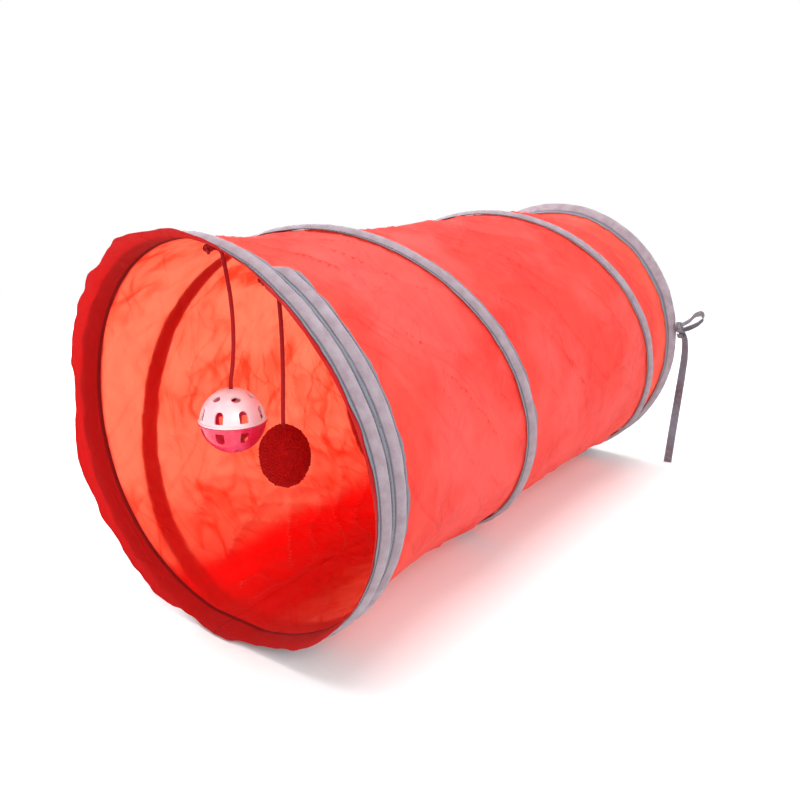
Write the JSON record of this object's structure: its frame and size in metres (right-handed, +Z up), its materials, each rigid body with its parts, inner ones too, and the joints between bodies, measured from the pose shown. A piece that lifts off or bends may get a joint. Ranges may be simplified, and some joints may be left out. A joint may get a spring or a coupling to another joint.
{
  "type": "cat play tunnel",
  "caption": "Collapsible cloth tunnel for a small pet, held open by spring wire, with a bell ball and a pompom hanging in its mouth.",
  "frame": {"origin": "bottom centre of the open tunnel, on the surface it lies on", "axes": "+X along the tunnel away from the mouth with the toys, +Z up, -Y the side with the tie"},
  "size_m": [0.4762, 0.2756, 0.2523],
  "materials": {
    "sleeve_cloth": "thin woven polyester, coral red, light shines through",
    "binding_tape": "grey mauve woven polyester tape, satin, with lockstitched edges",
    "spring_wire": "drawn spring steel wire",
    "crimp_steel": "zinc plated tube",
    "vinyl_cap": "dipped vinyl, satin",
    "toy_cord": "dark red round braided cord",
    "pompom_yarn": "deep red cut yarn, matt and fuzzy",
    "clear_plastic": "milky white translucent moulded plastic, glossy",
    "pink_plastic": "red pink translucent moulded plastic, glossy",
    "bell_metal": "stamped and plated, bright",
    "pellet_steel": "plain steel",
    "tie_ribbon": "grey woven polyester ribbon, creased"
  },
  "bodies": {
    "front_end": {"sleeve": "sleeve_cloth", "front_ring_tape": "binding_tape", "front_ring_wire": "spring_wire", "front_ring_ferrule": "crimp_steel", "coil_tape": "binding_tape", "coil_wire": "spring_wire", "coil_front_end_cap": "vinyl_cap"},
    "rear_end": {"rear_ring_tape": "binding_tape", "rear_ring_wire": "spring_wire", "rear_ring_ferrule": "crimp_steel", "coil_rear_end_cap": "vinyl_cap", "tie_knot": "tie_ribbon", "tie_loop": "tie_ribbon", "tie_small_loop": "tie_ribbon"},
    "tail": {"tie_tail": "tie_ribbon"},
    "ball_knot": {"ball_cord_knot": "toy_cord"},
    "ball": {"ball_cord": "toy_cord", "ball_upper_half": "clear_plastic", "ball_lower_half": "pink_plastic", "ball_inner_knot": "toy_cord"},
    "bell": {"ball_bell": "bell_metal"},
    "pellet": {"ball_bell_pellet": "pellet_steel"},
    "pompom_knot": {"pompom_cord_knot": "toy_cord"},
    "pompom_toy": {"pompom": "pompom_yarn", "pompom_cord": "toy_cord", "pompom_core_tie": "toy_cord"}
  },
  "joints": [
    {"name": "collapse", "type": "slide", "parent": "front_end", "child": "rear_end", "axis": [1, 0, 0], "range_m": [-0.42, 0], "stiffness_N_per_m": 6, "springref_m": 0.06, "deforming": ["sleeve", "coil_tape", "coil_wire"]},
    {"name": "ball_sway", "type": "hinge", "parent": "front_end", "child": "ball_knot", "pos_m": [-0.216, -0.0035, 0.24258], "axis": [1, 0, 0], "range_deg": [-2, 30]},
    {"name": "ball_swing", "type": "hinge", "parent": "ball_knot", "child": "ball", "pos_m": [-0.216, -0.0035, 0.24258], "axis": [0, 1, 0], "range_deg": [-35, 35]},
    {"name": "bell_rattle", "type": "slide", "parent": "ball", "child": "bell", "axis": [0, 0, 1], "range_m": [0, 0.012]},
    {"name": "pellet_rattle", "type": "slide", "parent": "bell", "child": "pellet", "axis": [0, 0, 1], "range_m": [0, 0.006]},
    {"name": "pompom_sway", "type": "hinge", "parent": "front_end", "child": "pompom_knot", "pos_m": [-0.216, -0.046, 0.22828], "axis": [1, 0, 0], "range_deg": [-28, 2]},
    {"name": "pompom_swing", "type": "hinge", "parent": "pompom_knot", "child": "pompom_toy", "pos_m": [-0.216, -0.046, 0.22828], "axis": [0, 1, 0], "range_deg": [-35, 35]},
    {"name": "tail_swing", "type": "hinge", "parent": "rear_end", "child": "tail", "pos_m": [0.238, -0.1304, 0.1236], "axis": [0, 1, 0], "range_deg": [-40, 40]}
  ]
}
